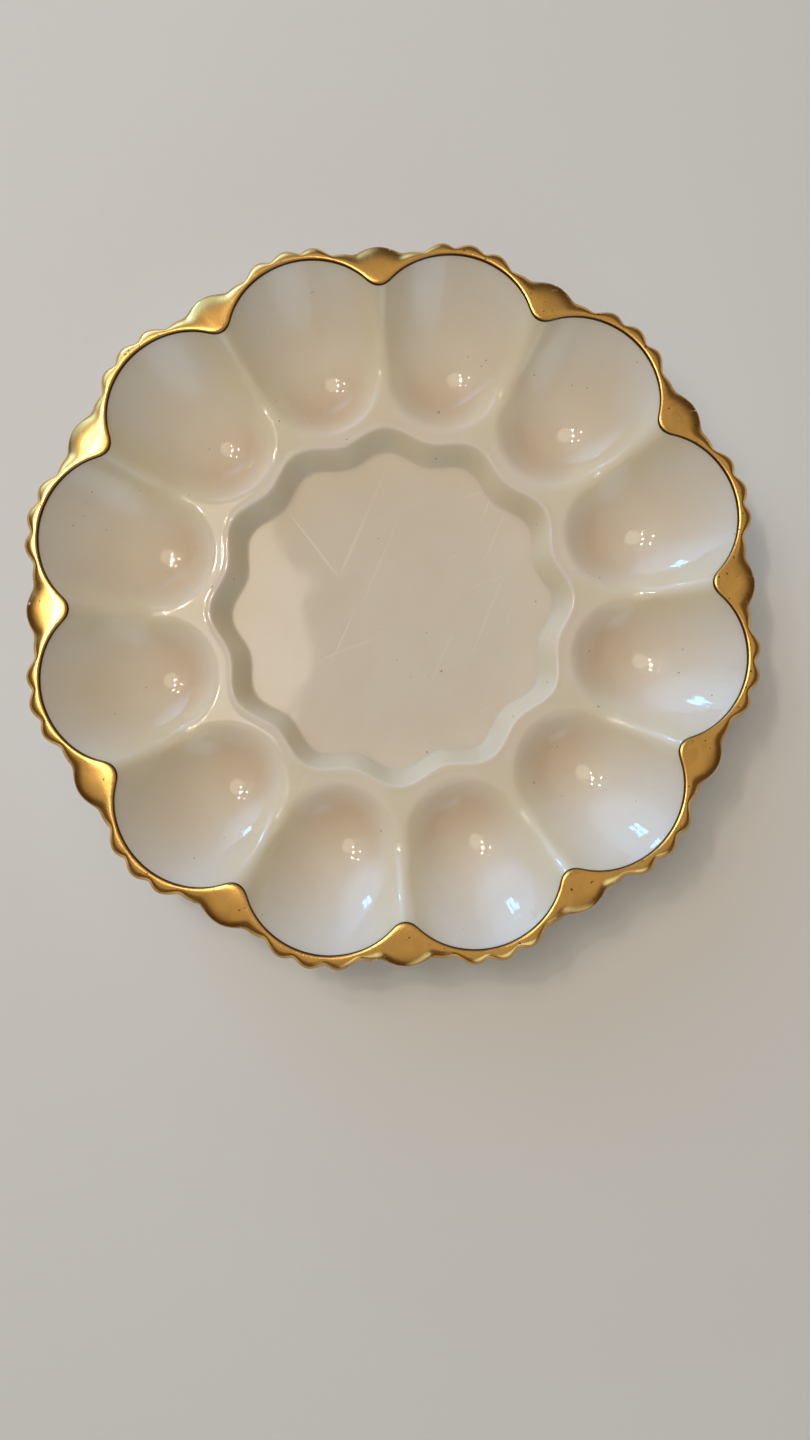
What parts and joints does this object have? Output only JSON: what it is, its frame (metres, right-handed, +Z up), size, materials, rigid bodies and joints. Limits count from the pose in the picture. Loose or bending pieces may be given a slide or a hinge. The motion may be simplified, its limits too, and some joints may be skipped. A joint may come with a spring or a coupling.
{
  "type": "egg plate",
  "caption": "Round pressed-glass plate for serving halved eggs: a ring of egg-shaped wells round a sunken wavy-walled centre, with a gilded scalloped rim.",
  "frame": {"origin": "centre of the plate at the plane of its foot", "axes": "+Z up along the plate's axis; a cusp between two wells lies on +X and another on +Y"},
  "size_m": [0.2424, 0.2424, 0.0313],
  "materials": {
    "opal_glass": "opaque milk glass, fire polished, high gloss",
    "fired_gold": "bright gold film fired on glass, glossy, lightly rubbed"
  },
  "bodies": {
    "root": {"glass_plate": "opal_glass", "gilt_rim": "fired_gold"}
  },
  "joints": []
}
